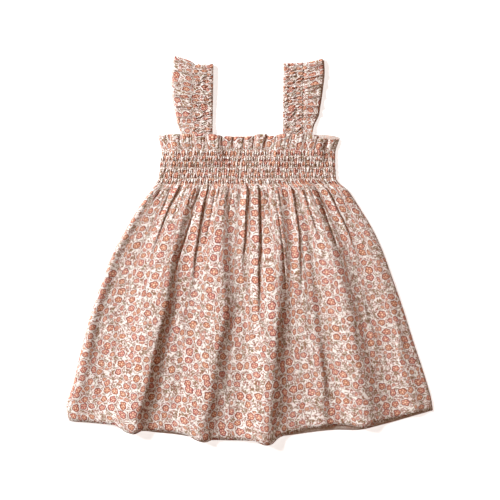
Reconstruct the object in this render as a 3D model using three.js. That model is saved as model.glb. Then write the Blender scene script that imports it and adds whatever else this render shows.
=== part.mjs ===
// A toddler's sundress laid flat: a front and a back panel, each cut in one piece from the ruffled
// heading through the shirred bodice to the hem, and two shirred shoulder straps folded over at the
// top, each with a gathered ruffle along its outer edge. The back lies on the table, the strap ends
// lie between the two headings, and the front lies on top with its gathers and folds raised.
// Millimetres. +X runs across the dress, +Y from the hem to the straps, +Z up off the table.
import * as THREE from "three";

const { lerp, smoothstep } = THREE.MathUtils;

// Cloth and clearances
const FRONT_WALL = 1.7;
const BACK_WALL = 1.4;
const STRAP_WALL = 1.2;
const SEAM_GAP = 0.3;

// Bodice: heights are above the lowest shirring row, which is the waist
const SHIRRING_ROWS = 7;
const SHIRRING_PITCH = 7.6;
const SHIRRING_TOP = (SHIRRING_ROWS - 1) * SHIRRING_PITCH;
const PUFF_COLUMNS = 64;
const PUFF_HEIGHT = 1.3;
const PINCH_HEIGHT = 0.4;
const FLUTES = 15;
const FLUTE_HEIGHT = 2.6;
const FLUTE_DRIFT = 1.6; // how far the flutes stray from equal steps, in radians of one flute
const FLUTE_DRIFT_RATE = 7;
const HEADING_RISE = 22; // of the highest part of the heading above the top shirring row
const HEADING_TOP = SHIRRING_TOP + HEADING_RISE;

// Skirt
const GATHERS = 20;
const GATHER_HEIGHT = 2.6;
const GATHER_REACH = 5.5; // of a gather's ridge to each side of its crest
const GATHER_UNEVEN = 0.25; // share by which gathers differ in place and height
const GATHER_END = { middle: 0.21, spread: 0.09 }; // shares of the length where gathers have opened out
const GATHER_FADE = 0.3; // share of a gather's length after which it begins to fade
const FOLD_FADE = 0.55; // the same for a fold
const FOLD_WAIST_REACH = 0.45; // share of its reach that a fold has at the waist
const FOLD_FULL_REACH = 0.4545; // share of the length from which it has all of it
const FLANK_SPREAD = 0.4; // share of its reach by which a fold's right flank is longer at the hem
const SPREAD_START = 0.5; // share of the length where that begins
const FLANK_LEAN = 0.75; // below 1, a right flank falls most steeply near its crest
const DROP_START = 0.6; // share of the length from which a fold's cloth hangs lower
const BULGE_REACH = 19; // of the hem's bulge at a fold, to each side of its middle
const BULGE_LEAN = 1.3; // above 1, a bulge is flatter in its middle

// Side edges of the bodice, by height above the waist
const BODICE_EDGE = [
  { y: 0, left: -126, right: 124 },
  { y: 5, left: -123.5, right: 119.5 },
  { y: 16, left: -121, right: 117.5 },
  { y: 32, left: -119, right: 117.5 },
  { y: 46, left: -117.5, right: 118 },
  { y: 58, left: -121, right: 122 },
  { y: 66, left: -121.5, right: 124 },
];

// Free edge of the heading above the top shirring row, across the dress from -1 at the left to 1
const HEADING_EDGE = [
  { across: -1, front: 20.5, back: 19 },
  { across: -0.9, front: 21.8, back: 19.5 },
  { across: -0.4, front: 21.6, back: 19.8 },
  { across: -0.3, front: 19.4, back: 18.5 },
  { across: 0, front: 19.2, back: 18.5 },
  { across: 0.1, front: 21.8, back: 18.5 },
  { across: 0.17, front: 21.4, back: 18.5 },
  { across: 0.25, front: 19.6, back: 18.5 },
  { across: 0.35, front: 21.6, back: 19 },
  { across: 0.68, front: 21.2, back: 21 },
  { across: 0.82, front: 16.5, back: 21.2 },
  { across: 0.93, front: 15, back: 20 },
  { across: 1, front: 16, back: 17.5 },
];

// Side edges of the skirt, by share of its length: 0 at the waist and 1 at the hem
const SKIRT_EDGE = [
  { share: 0, left: -126, right: 124 },
  { share: 0.025, left: -132.5, right: 134 },
  { share: 0.1, left: -149.5, right: 149.5 },
  { share: 0.2, left: -168, right: 168 },
  { share: 0.3, left: -185, right: 182 },
  { share: 0.4, left: -197, right: 193 },
  { share: 0.55, left: -213.5, right: 209 },
  { share: 0.7, left: -226.5, right: 223.5 },
  { share: 0.85, left: -238, right: 238.5 },
  { share: 0.94, left: -247, right: 246.5 },
  { share: 1, left: -243, right: 249.5 },
];

// Depth of the hem below the waist, across the dress from -1 at the left edge to 1 at the right
const HEM = [
  { across: -1, front: 320, back: 318 },
  { across: -0.85, front: 323, back: 321 },
  { across: -0.73, front: 325.5, back: 323 },
  { across: -0.65, front: 331, back: 329 },
  { across: -0.57, front: 333, back: 334 },
  { across: -0.42, front: 335.5, back: 338 },
  { across: -0.32, front: 340, back: 341.5 },
  { across: -0.2, front: 345.5, back: 344 },
  { across: 0.09, front: 344.5, back: 342 },
  { across: 0.21, front: 337.5, back: 339.5 },
  { across: 0.34, front: 329.5, back: 335 },
  { across: 0.47, front: 325.5, back: 332 },
  { across: 0.6, front: 325.5, back: 332 },
  { across: 0.74, front: 320, back: 324 },
  { across: 0.87, front: 311.5, back: 315 },
  { across: 1, front: 305.5, back: 306 },
];

// The skirt's folds. crest is the ridge's place across the dress at the waist, half way down and at
// the hem, height its height there, fade the share of the length where it has died away, and left and
// right the reach of its two flanks.
const FOLDS = [
  { crest: [-0.96, -0.975, -0.95], height: [2.5, 5, 3.6], fade: 1.2, left: 14, right: 14 },
  { crest: [-0.74, -0.71, -0.7], height: [2.4, 1.2, 0], fade: 0.36, left: 12, right: 8 },
  { crest: [-0.585, -0.555, -0.634], height: [1.6, 8.5, 11.5], fade: 2, left: 58, right: 22 },
  { crest: [-0.44, -0.37, -0.37], height: [3.4, 2.2, 0], fade: 0.5, left: 12, right: 9 },
  { crest: [-0.25, -0.16, -0.282], height: [1.2, 7, 9.5], fade: 2, left: 44, right: 24 },
  { crest: [-0.03, -0.05, -0.05], height: [2.6, 1.6, 0], fade: 0.36, left: 9, right: 8 },
  { crest: [0.09, 0.06, 0.3], height: [3, 5.2, 0], fade: 0.68, left: 16, right: 9 },
  { crest: [0.29, 0.182, 0.07], height: [1.6, 8.5, 11.5], fade: 2, left: 40, right: 28 },
  { crest: [0.43, 0.34, 0.3], height: [2.5, 2.8, 0], fade: 0.62, left: 14, right: 8 },
  { crest: [0.52, 0.55, 0.5], height: [3.4, 2, 0], fade: 0.3, left: 12, right: 9 },
  { crest: [0.6, 0.642, 0.622], height: [3.4, 7.4, 8.4], fade: 2, left: 36, right: 32 },
  { crest: [0.78, 0.8, 0.8], height: [2.4, 1.5, 0], fade: 0.34, left: 11, right: 9 },
  { crest: [0.46, 0.43, 0.4], height: [0, 2, 3.2], fade: 2, left: 24, right: 11 },
  { crest: [0.95, 0.93, 0.9], height: [0.5, 2.4, 3], fade: 2, left: 26, right: 16 },
];

// Bulges of the hem at the ends of the large folds, and how far they hang below the hem beside them
const BULGES = [
  { across: -0.68, drop: 6.5 },
  { across: -0.288, drop: 5.2 },
  { across: 0.078, drop: 6.5 },
  { across: 0.418, drop: 1 },
  { across: 0.618, drop: 3 },
];

// Shoulder straps. side is -1 on the left. neckTop and neckFoot are the distances of the strap's
// neck edge from the centre line, top the height of its fold, and flare how far the ruffle's corner
// stands above that fold, rising across the ruffle by the power curl.
const STRAPS = [
  { name: "left", side: -1, neckTop: 47.6, neckFoot: 48.8, top: 161.5, flare: 12, curl: 0.6 },
  { name: "right", side: 1, neckTop: 47, neckFoot: 45.6, top: 163.5, flare: 6.5, curl: 1.1 },
];
const STRAP_WIDTH = 26.5;
const STRAP_FOOT = SHIRRING_TOP + 2; // its ends are sewn in just above the top shirring row
const STRAP_GATHERS = 26;
const STRAP_CHANNELS = 3;
const STRAP_PUFF = 1.0;
const STRAP_PLAIN_FOOT = 2; // length without puffs above the heading
const STRAP_PLAIN_TOP = 6; // and below the fold
const STRAP_FOLD_GAP = 2.6; // between the strap's two layers, at the fold
const GAP_OPENS = 4; // height above the heading where that gap begins to open
const TUCK_START = 1; // height above the heading where a strap begins to come down to the table
const TUCK_END = 18; // and where it lies on it

// The front is lifted over the strap ends: heights above the waist where the lift begins and is full,
// and distances outward from the strap's neck edge and from the ruffle's edge where it comes and goes
const LIFT_UP = [18, 38];
const LIFT_NECK = [-20, -7];
const LIFT_ARM = [11, 24];

// Width of the ruffle, by height above the waist
const RUFFLE_WIDTH = [
  { y: 40, left: 12, right: 9.5 },
  { y: 70, left: 16.5, right: 14 },
  { y: 81, left: 20, right: 15.5 },
  { y: 92, left: 22, right: 20.5 },
  { y: 104, left: 25, right: 22.6 },
  { y: 124, left: 28.6, right: 25.6 },
  { y: 145, left: 28, right: 27.8 },
  { y: 165, left: 24.8, right: 26.6 },
];
const RUFFLE_WAVES = 9;
const RUFFLE_WAVE_HEIGHT = 4;
const RUFFLE_SCALLOP = 0.05; // share of its width by which the ruffle is narrower on a wave's crest
const RUFFLE_DRIFT = 0.5; // how far the waves stray from equal steps, in radians of one wave
const RUFFLE_DRIFT_RATE = 0.8;
const RUFFLE_FREE = [3, 26]; // heights above the heading between which the waves come to full height
const FLARE_START = 45; // height above the strap's foot where the ruffle's corner begins to rise

// How finely each surface is drawn
const PANEL_STEPS = 92;
const PLAIN_STEPS = 48; // inside the shirring
const BACK_STEPS = 24;
const BACK_BAND_STEPS = 4;
const FOLD_STEPS = 6; // round the top of a strap
const STRAP_STEPS = { outside: STRAP_GATHERS * 2, inside: 12, back: 10 };
const RUFFLE_STEPS = { front: RUFFLE_WAVES * 4, back: 12, across: 4 };
const SKIRT_SHARES = [
  0.018, 0.05, 0.095, 0.15, 0.215, 0.29, 0.375, 0.47, 0.57, 0.67, 0.77, 0.86, 0.94, 0.985, 1,
];
const BACK_SHARES = [0.025, 0.07, 0.13, 0.2, 0.3, 0.4, 0.55, 0.7, 0.85, 0.94, 0.98, 1];
const HEADING_SHARES = [1, 0.82, 0.5, 0.2]; // of the heading's rise
const BACK_HEADING_SHARES = [1, 0.7, 0.35];
const BACK_INSET = 0.997; // the back lies a little inside the front's side edges

// Smooth curve through one column of a table, by another
function through(table, key, column) {
  const last = table.length - 1;
  const slope = (i) => {
    const from = table[Math.max(i - 1, 0)];
    const to = table[Math.min(i + 1, last)];
    return (to[column] - from[column]) / (to[key] - from[key]);
  };
  return (at) => {
    const value = THREE.MathUtils.clamp(at, table[0][key], table[last][key]);
    const i = Math.min(Math.max(table.findIndex((row) => row[key] >= value) - 1, 0), last - 1);
    const span = table[i + 1][key] - table[i][key];
    const u = (value - table[i][key]) / span;
    const start = table[i][column];
    const end = table[i + 1][column];
    const bend = (1 - u) * u * span;
    return lerp(start, end, u * u * (3 - 2 * u)) + bend * ((1 - u) * slope(i) - u * slope(i + 1));
  };
}

// Repeatable unevenness from -1 to 1, a different one for each whole number
function uneven(n) {
  const mixed = Math.sin(n * 12.9898 + 4.137) * 43758.5453;
  return 2 * (mixed - Math.floor(mixed)) - 1;
}

// Numbers from first to last in equal steps
function spread(first, last, steps) {
  return Array.from({ length: steps + 1 }, (_, i) => lerp(first, last, i / steps));
}

// Ridge profile: 1 on the crest, 0 beyond the flank's reach
function ridge(distance, reach, lean = 1) {
  const u = Math.min(Math.abs(distance) / reach, 1) ** lean;
  return Math.cos((Math.PI / 2) * u) ** 2;
}

// Value of a three-entry column at a share of the skirt's length
function downSkirt([waist, middle, hem], share) {
  return share < 0.5 ? lerp(waist, middle, share * 2) : lerp(middle, hem, share * 2 - 1);
}

// Places across the dress, given as -1 to 1, on a row between two edges
function between(left, right, across) {
  return lerp(left, right, (across + 1) / 2);
}

const bodiceLeft = through(BODICE_EDGE, "y", "left");
const bodiceRight = through(BODICE_EDGE, "y", "right");
const skirtLeft = through(SKIRT_EDGE, "share", "left");
const skirtRight = through(SKIRT_EDGE, "share", "right");
const hemFront = through(HEM, "across", "front");
const hemBack = through(HEM, "across", "back");
const headingFront = through(HEADING_EDGE, "across", "front");
const headingBack = through(HEADING_EDGE, "across", "back");
const ruffleWidth = {
  left: through(RUFFLE_WIDTH, "y", "left"),
  right: through(RUFFLE_WIDTH, "y", "right"),
};

function skirtX(across, share) {
  return between(skirtLeft(share), skirtRight(share), across);
}

// Height that the folds and gathers add to the front skirt
function foldHeight(across, share) {
  const x = skirtX(across, share);
  let height = 0;
  for (const fold of FOLDS) {
    const distance = x - skirtX(downSkirt(fold.crest, share), share);
    const narrow = lerp(FOLD_WAIST_REACH, 1, Math.min(share / FOLD_FULL_REACH, 1));
    const broad = narrow + FLANK_SPREAD * smoothstep(share, SPREAD_START, 1);
    const lit = ridge(distance, fold.left * narrow);
    const profile = distance < 0 ? lit : ridge(distance, fold.right * broad, FLANK_LEAN);
    const kept = 1 - smoothstep(share, fold.fade * FOLD_FADE, fold.fade);
    height += downSkirt(fold.height, share) * kept * profile;
  }
  for (let n = 0; n < GATHERS; n++) {
    const place = -1 + (2 * (n + 0.5 + GATHER_UNEVEN * uneven(n))) / GATHERS;
    const end = GATHER_END.middle + GATHER_END.spread * uneven(n + 50);
    const kept = 1 - smoothstep(share, end * GATHER_FADE, end);
    const distance = x - skirtX(place, share);
    height += GATHER_HEIGHT * (1 + GATHER_UNEVEN * uneven(n + 90)) * kept * ridge(distance, GATHER_REACH);
  }
  return height;
}

// How far the front is lifted by the strap ends that lie under it
function strapLift(x, y) {
  const full = 2 * (STRAP_WALL + SEAM_GAP);
  const up = smoothstep(y, ...LIFT_UP);
  let lift = 0;
  for (const strap of STRAPS) {
    const inside = x * strap.side - strap.neckFoot;
    const beyond = inside - STRAP_WIDTH - ruffleWidth[strap.name](STRAP_FOOT);
    const over = smoothstep(inside, ...LIFT_NECK) * (1 - smoothstep(beyond, ...LIFT_ARM));
    lift = Math.max(lift, full * over * up);
  }
  return lift;
}

const FRONT_REST = BACK_WALL + SEAM_GAP; // the front's inner face where it lies on the back

// Front heading, which stands above the first shirring row in flutes. up is 0 at that row and 1 at
// the free edge.
function headingPoint(across, up, depth) {
  const y = SHIRRING_TOP + up * headingFront(across);
  const x = between(bodiceLeft(y), bodiceRight(y), across);
  const phase = Math.PI * FLUTES * across + FLUTE_DRIFT * Math.sin(across * FLUTE_DRIFT_RATE);
  const flute = 0.5 + 0.5 * Math.cos(phase);
  const height = FLUTE_HEIGHT * flute * Math.sqrt(up);
  const rest = FRONT_REST + strapLift(x, y) + depth;
  return new THREE.Vector3(x, y, rest + height + (depth > 0 ? PINCH_HEIGHT * (1 - up) : 0));
}

// Front shirring. Half rows are counted from the top shirring row: even ones are stitched and the
// cloth puffs out on the odd ones, at every second column.
function shirringPoint(across, halfRow, column, depth) {
  const y = SHIRRING_TOP - (halfRow * SHIRRING_PITCH) / 2;
  const x = between(bodiceLeft(y), bodiceRight(y), across);
  const puffed = halfRow % 2 === 1 && column % 2 === 1;
  const height = depth > 0 ? (puffed ? PUFF_HEIGHT : PINCH_HEIGHT) : 0;
  return new THREE.Vector3(x, y, FRONT_REST + strapLift(x, y) + depth + height);
}

// Front skirt, with its folds
function skirtPoint(across, share, depth) {
  const drop = BULGES.reduce((sum, bulge) => {
    const distance = skirtX(across, 1) - skirtX(bulge.across, 1);
    return sum + bulge.drop * ridge(distance, BULGE_REACH, BULGE_LEAN);
  }, 0);
  const y = -share * (hemFront(across) + drop * smoothstep(share, DROP_START, 1));
  return new THREE.Vector3(skirtX(across, share), y, FRONT_REST + depth + foldHeight(across, share));
}

// Joins two rows of point numbers that run the same way with triangles, however many each has
function strip(upper, lower, points, faces) {
  const shares = (row) => {
    const sums = [0];
    for (let i = 1; i < row.length; i++) {
      sums.push(sums[i - 1] + points[row[i]].distanceTo(points[row[i - 1]]));
    }
    return sums.map((sum, i) => (upper.length === lower.length ? i : sum / sums[row.length - 1]));
  };
  const above = shares(upper);
  const below = shares(lower);
  let i = 0;
  let j = 0;
  while (i < upper.length - 1 || j < lower.length - 1) {
    const stepAbove = j === lower.length - 1 || (i < upper.length - 1 && above[i + 1] <= below[j + 1]);
    faces.push(stepAbove ? [upper[i], lower[j], upper[i + 1]] : [upper[i], lower[j], lower[j + 1]]);
    if (stepAbove) i++;
    else j++;
  }
}

// One closed wall of cloth from its outer and inner face, each a list of rows of points
function wall(outerRows, innerRows) {
  const points = [];
  const faces = [];
  const number = (rows) => rows.map((row) => row.map((point) => points.push(point) - 1));
  const outer = number(outerRows);
  const inner = number(innerRows);
  for (let i = 1; i < outer.length; i++) strip(outer[i - 1], outer[i], points, faces);
  const insideFaces = [];
  for (let i = 1; i < inner.length; i++) strip(inner[i - 1], inner[i], points, insideFaces);
  faces.push(...insideFaces.map(([a, b, c]) => [a, c, b]));
  const side = (rows, pick) => rows.map((row) => row.at(pick));
  strip(inner[0], outer[0], points, faces);
  strip(outer.at(-1), inner.at(-1), points, faces);
  strip(side(outer, 0), side(inner, 0), points, faces);
  strip(side(inner, -1), side(outer, -1), points, faces);
  const geometry = new THREE.BufferGeometry().setFromPoints(points);
  geometry.setIndex(faces.flat());
  geometry.computeVertexNormals();
  return geometry;
}

function frontGeometry() {
  const columns = spread(-1, 1, PANEL_STEPS);
  const puffs = spread(-1, 1, PUFF_COLUMNS * 2);
  const plain = spread(-1, 1, PLAIN_STEPS);
  const halfRows = [...Array(2 * SHIRRING_ROWS - 1).keys()];
  const heading = (depth) => HEADING_SHARES.map((up) => columns.map((a) => headingPoint(a, up, depth)));
  const skirt = (depth) => SKIRT_SHARES.map((share) => columns.map((a) => skirtPoint(a, share, depth)));
  const shirred = halfRows.map((n) => puffs.map((a, k) => shirringPoint(a, n, k, FRONT_WALL)));
  const insideRows = halfRows.filter((n) => n % 4 === 0);
  const smooth = insideRows.map((n) => plain.map((a) => shirringPoint(a, n, 0, 0)));
  const outer = [...heading(FRONT_WALL), ...shirred, ...skirt(FRONT_WALL)];
  return wall(outer, [...heading(0), ...smooth, ...skirt(0)]);
}

// The back lies flat on the table, with its right side down
function backGeometry() {
  const columns = spread(-1, 1, BACK_STEPS);
  const heading = BACK_HEADING_SHARES.map((up) => (a) => SHIRRING_TOP + up * headingBack(a));
  const band = spread(SHIRRING_TOP, 0, BACK_BAND_STEPS).map((y) => () => y);
  const face = (z) => [
    ...[...heading, ...band].map((row) => columns.map((a) => {
      const y = row(a);
      return new THREE.Vector3(between(bodiceLeft(y), bodiceRight(y), a * BACK_INSET), y, z);
    })),
    ...BACK_SHARES.map((share) => columns.map((a) => {
      return new THREE.Vector3(skirtX(a * BACK_INSET, share), -share * hemBack(a), z);
    })),
  ];
  return wall(face(BACK_WALL), face(0));
}

// Side view of a strap or ruffle from its front foot, over the fold at the top and down to its back
// foot. inset is 0 on the outer face and 1 on the inner face. Returns a list of { y, z, layer }.
function strapPath(top, inset, frontSteps, backSteps) {
  const lowest = (y) => FRONT_REST * (1 - smoothstep(y - HEADING_TOP, TUCK_START, TUCK_END));
  const gap = (y) => lerp(SEAM_GAP, STRAP_FOLD_GAP, smoothstep(y, HEADING_TOP + GAP_OPENS, top - GAP_OPENS));
  const radius = STRAP_WALL + STRAP_FOLD_GAP / 2;
  const turn = top - radius;
  const depth = inset * STRAP_WALL;
  const front = spread(STRAP_FOOT, turn, frontSteps).map((y) => {
    return { y, z: lowest(y) + 2 * STRAP_WALL + gap(y) - depth, layer: "front" };
  });
  const fold = spread(90, -90, FOLD_STEPS).slice(1, -1).map((degrees) => {
    const angle = THREE.MathUtils.degToRad(degrees);
    const r = radius - depth;
    return { y: turn + r * Math.cos(angle), z: radius + r * Math.sin(angle), layer: "fold" };
  });
  const back = spread(turn, STRAP_FOOT, backSteps).map((y) => {
    return { y, z: lowest(y) + depth, layer: "back" };
  });
  return [...front, ...fold, ...back];
}

function strapNeck(strap, y) {
  return lerp(strap.neckFoot, strap.neckTop, smoothstep(y, STRAP_FOOT, strap.top));
}

// A shirred strap: lengthwise channels of elastic, with the cloth gathered into puffs between them
function strapGeometry(strap) {
  const face = (inset, frontSteps, backSteps, acrossSteps) => {
    const path = strapPath(strap.top, inset, frontSteps, backSteps);
    return path.map(({ y, z, layer }, row) => spread(1, 0, acrossSteps).map((across, column) => {
      const width = strap.side > 0 ? across : 1 - across;
      const x = strap.side * (strapNeck(strap, y) + width * STRAP_WIDTH);
      const open = y > HEADING_TOP + STRAP_PLAIN_FOOT && y < strap.top - STRAP_PLAIN_TOP;
      const shown = layer === "front" && inset === 0 && open;
      const puffed = shown && row % 2 === 1 && column % 2 === 1;
      return new THREE.Vector3(x, y, z + (puffed ? STRAP_PUFF : 0));
    }));
  };
  const outer = face(0, STRAP_STEPS.outside, STRAP_STEPS.back, STRAP_CHANNELS * 2);
  const inner = face(1, STRAP_STEPS.inside, STRAP_STEPS.back, STRAP_CHANNELS);
  return wall(outer, inner);
}

// A ruffle sewn to the outer edge of a strap, gathered into waves that grow towards its free edge
function ruffleGeometry(strap) {
  const face = (inset) => {
    const path = strapPath(strap.top, inset, RUFFLE_STEPS.front, RUFFLE_STEPS.back);
    return path.map(({ y, z, layer }, row) => spread(1, 0, RUFFLE_STEPS.across).map((across) => {
      const out = strap.side > 0 ? across : 1 - across;
      const climb = smoothstep(y, STRAP_FOOT + FLARE_START, strap.top);
      const lifted = y + strap.flare * climb * out ** strap.curl;
      const free = smoothstep(y - HEADING_TOP, ...RUFFLE_FREE) * (layer === "back" ? 0 : 1);
      const phase = (2 * Math.PI * RUFFLE_WAVES * row) / RUFFLE_STEPS.front;
      const wave = 0.5 - 0.5 * Math.cos(phase + RUFFLE_DRIFT * Math.sin(row * RUFFLE_DRIFT_RATE));
      const scallop = 1 - RUFFLE_SCALLOP * wave * free;
      const seam = strapNeck(strap, y) + STRAP_WIDTH + SEAM_GAP;
      const x = strap.side * (seam + out * ruffleWidth[strap.name](y) * scallop);
      const height = layer === "front" ? RUFFLE_WAVE_HEIGHT * wave * free * out : 0;
      return new THREE.Vector3(x, lifted, z + height);
    }));
  };
  return wall(face(0), face(1));
}

const cloth = (color) => new THREE.MeshStandardMaterial({ color, roughness: 0.9, metalness: 0 });
const PRINT_TONE = 0xe2c8bb;

function named(name, geometry, color) {
  const mesh = new THREE.Mesh(geometry, cloth(color));
  mesh.name = name;
  return mesh;
}

const dress = new THREE.Group();
dress.name = "sundress";
dress.add(named("front", frontGeometry(), PRINT_TONE));
dress.add(named("back", backGeometry(), PRINT_TONE));
for (const strap of STRAPS) {
  dress.add(named(`strap_${strap.name}`, strapGeometry(strap), PRINT_TONE));
  dress.add(named(`strap_ruffle_${strap.name}`, ruffleGeometry(strap), PRINT_TONE));
}

// The origin is the middle of the dress's outline, on the table
const box = new THREE.Box3().setFromObject(dress);
const middle = box.getCenter(new THREE.Vector3());
dress.position.set(-middle.x, -middle.y, -box.min.z);

export default dress;
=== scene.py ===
"""A toddler's sundress laid flat with its front up, in printed cotton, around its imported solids.

Shapes are worked out in millimetres from the waist, the lowest row of shirring: x runs across the
dress, y up to the shoulders and z off the table. Cloth gets a second pair of coordinates, its place
on the cut cloth in metres, which the print follows.
"""

from __future__ import annotations

import logging
import math
from dataclasses import dataclass
from enum import Enum
from typing import Callable, NamedTuple, Sequence

import bpy
import numpy as np
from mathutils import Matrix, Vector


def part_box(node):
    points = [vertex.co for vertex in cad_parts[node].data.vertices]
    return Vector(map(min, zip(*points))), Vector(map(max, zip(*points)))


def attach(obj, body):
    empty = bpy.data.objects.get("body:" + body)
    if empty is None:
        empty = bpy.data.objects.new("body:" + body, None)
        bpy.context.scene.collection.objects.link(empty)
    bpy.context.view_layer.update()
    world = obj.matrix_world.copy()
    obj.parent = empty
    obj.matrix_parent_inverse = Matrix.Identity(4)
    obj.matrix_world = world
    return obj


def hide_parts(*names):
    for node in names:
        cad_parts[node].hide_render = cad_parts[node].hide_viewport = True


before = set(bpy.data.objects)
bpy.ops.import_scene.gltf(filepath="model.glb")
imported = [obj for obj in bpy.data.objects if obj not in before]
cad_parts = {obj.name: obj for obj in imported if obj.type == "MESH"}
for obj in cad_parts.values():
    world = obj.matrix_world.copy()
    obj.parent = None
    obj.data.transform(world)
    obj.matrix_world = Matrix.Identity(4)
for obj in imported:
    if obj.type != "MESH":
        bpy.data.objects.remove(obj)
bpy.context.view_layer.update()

Array = np.ndarray
MM = 0.001
LOG = logging.getLogger("sundress")
CUT_MAP = "cut_cloth"


class Side(Enum):
    """Side of the dress as seen from above."""

    LEFT = -1
    RIGHT = 1


class Layer(Enum):
    """Part of a strap's or ruffle's path."""

    FRONT = 0
    FOLD = 1
    BACK = 2


class EdgeRow(NamedTuple):
    """Left and right value at one place of a table."""

    at: float
    left: float
    right: float


class HemRow(NamedTuple):
    """Front and back value at one place across the dress, from -1 at the left to 1."""

    across: float
    front: float
    back: float


class Fold(NamedTuple):
    """One fold of the skirt; places across run from -1 to 1, heights and reaches are in mm."""

    crest: tuple[float, float, float]
    height: tuple[float, float, float]
    fade: float
    left: float
    right: float


class Bulge(NamedTuple):
    """Bulge of the hem at a large fold's end: its place across and how far it hangs, in mm."""

    across: float
    drop: float


class Crease(NamedTuple):
    """A soft crease or a narrow tuck in the skirt, from one point to another, in mm."""

    x0: float
    y0: float
    x1: float
    y1: float
    height: float
    width: float


def lerp(start: Array | float, end: Array | float, share: Array | float) -> Array | float:
    """Straight line from start to end."""
    return start + (end - start) * share


def smoothstep(value: Array | float, low: float, high: float) -> Array:
    """Smooth rise from 0 at low to 1 at high."""
    share = np.clip((np.asarray(value, dtype=float) - low) / (high - low), 0.0, 1.0)
    return share * share * (3 - 2 * share)


def ridge(distance: Array, reach: Array | float, lean: float = 1.0) -> Array:
    """Rounded ridge: the squared cosine, 1 on the crest and 0 beyond its reach.

    A lean below 1 makes it fall steeply by the crest, then level out, and one above 1 flattens its crest.
    """
    return np.cos(np.pi / 2 * np.minimum(np.abs(distance) / reach, 1.0) ** lean) ** 2


def puff(phase: Array, power: float) -> Array:
    """Row of rounded puffs with sharp valleys at whole phases: the sine's size to a low power."""
    return np.abs(np.sin(np.pi * phase)) ** power


def uneven(number: Array | float) -> Array | float:
    """Repeatable unevenness from -1 to 1, another for each whole number."""
    mixed = np.sin(np.asarray(number, dtype=float) * 12.9898 + 4.137) * 43758.5453
    return 2 * (mixed - np.floor(mixed)) - 1


def drift(x: Array, seed: float) -> Array:
    """Slow unevenness along one direction: three sines of unlike length, about -1 to 1."""
    return (np.sin(x + seed) + 0.6 * np.sin(2.3 * x + 2.1 * seed) + 0.4 * np.sin(4.9 * x + seed / 2)) / 1.6


@dataclass(frozen=True)
class Curve:
    """Smooth curve through the points of a table, straight on at its ends."""

    keys: Array
    values: Array

    @classmethod
    def of(cls, rows: Sequence[NamedTuple], key: str, column: str) -> "Curve":
        """Curve through one column of a table, by another.

        Args:
            rows: the table.
            key: name of the column that the curve runs along.
            column: name of the column of its values.

        Returns:
            The curve.
        """
        keys = np.array([getattr(row, key) for row in rows], dtype=float)
        values = np.array([getattr(row, column) for row in rows], dtype=float)
        return cls(keys, values)

    def __call__(self, at: Array | float) -> Array:
        """Cubic between each pair of points, with the mean slope of its neighbours at each.

        Args:
            at: where the curve is read, held within the table.

        Returns:
            Its values there.
        """
        x, y = self.keys, self.values
        slope = np.gradient(y, x, edge_order=1)
        slope[1:-1] = (y[2:] - y[:-2]) / (x[2:] - x[:-2])
        value = np.clip(np.asarray(at, dtype=float), x[0], x[-1])
        i = np.clip(np.searchsorted(x, value, side="left") - 1, 0, len(x) - 2)
        span = x[i + 1] - x[i]
        u = (value - x[i]) / span
        bend = (1 - u) * u * span
        return lerp(y[i], y[i + 1], u * u * (3 - 2 * u)) + bend * ((1 - u) * slope[i] - u * slope[i + 1])


# Heights above the waist, and lengths of the cut cloth
SHIRRING_ROWS = 7
SHIRRING_PITCH = 7.6
SHIRRING_TOP = (SHIRRING_ROWS - 1) * SHIRRING_PITCH
HEADING_TOP = SHIRRING_TOP + 22
CUT_WIDTH = 520.0
CUT_SKIRT = 346.0

BACK_TOP = 1.4
SEAM_GAP = 0.3
FRONT_REST = BACK_TOP + SEAM_GAP
FRONT_WALL = 1.7
STRAP_WALL = 1.2

# Heights above the waist between which the strap ends come to lift the front in full
LIFT_START = 18.0
LIFT_FULL = 38.0

# Sewing: the thread's radius, and the hem's row of stitches above its edge
THREAD_RADIUS = 0.2
HEM_ROW = 12.5

BODICE_EDGE = [
    EdgeRow(0, -126, 124),
    EdgeRow(5, -123.5, 119.5),
    EdgeRow(16, -121, 117.5),
    EdgeRow(32, -119, 117.5),
    EdgeRow(46, -117.5, 118),
    EdgeRow(58, -121, 122),
    EdgeRow(66, -121.5, 124),
]

SKIRT_EDGE = [
    EdgeRow(0, -126, 124),
    EdgeRow(0.025, -132.5, 134),
    EdgeRow(0.1, -149.5, 149.5),
    EdgeRow(0.2, -168, 168),
    EdgeRow(0.3, -185, 182),
    EdgeRow(0.4, -197, 193),
    EdgeRow(0.55, -213.5, 209),
    EdgeRow(0.7, -226.5, 223.5),
    EdgeRow(0.85, -238, 238.5),
    EdgeRow(0.94, -247, 246.5),
    EdgeRow(1, -243, 249.5),
]

HEADING_EDGE = [
    HemRow(-1, 20.5, 19),
    HemRow(-0.9, 21.8, 19.5),
    HemRow(-0.4, 21.6, 19.8),
    HemRow(-0.3, 19.4, 18.5),
    HemRow(0, 19.2, 18.5),
    HemRow(0.1, 21.8, 18.5),
    HemRow(0.17, 21.4, 18.5),
    HemRow(0.25, 19.6, 18.5),
    HemRow(0.35, 21.6, 19),
    HemRow(0.68, 21.2, 21),
    HemRow(0.82, 16.5, 21.2),
    HemRow(0.93, 15, 20),
    HemRow(1, 16, 17.5),
]

HEM = [
    HemRow(-1, 320, 318),
    HemRow(-0.85, 323, 321),
    HemRow(-0.73, 325.5, 323),
    HemRow(-0.65, 331, 329),
    HemRow(-0.57, 333, 334),
    HemRow(-0.42, 335.5, 338),
    HemRow(-0.32, 340, 341.5),
    HemRow(-0.2, 345.5, 344),
    HemRow(0.09, 344.5, 342),
    HemRow(0.21, 337.5, 339.5),
    HemRow(0.34, 329.5, 335),
    HemRow(0.47, 325.5, 332),
    HemRow(0.6, 325.5, 332),
    HemRow(0.74, 320, 324),
    HemRow(0.87, 311.5, 315),
    HemRow(1, 305.5, 306),
]

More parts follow.
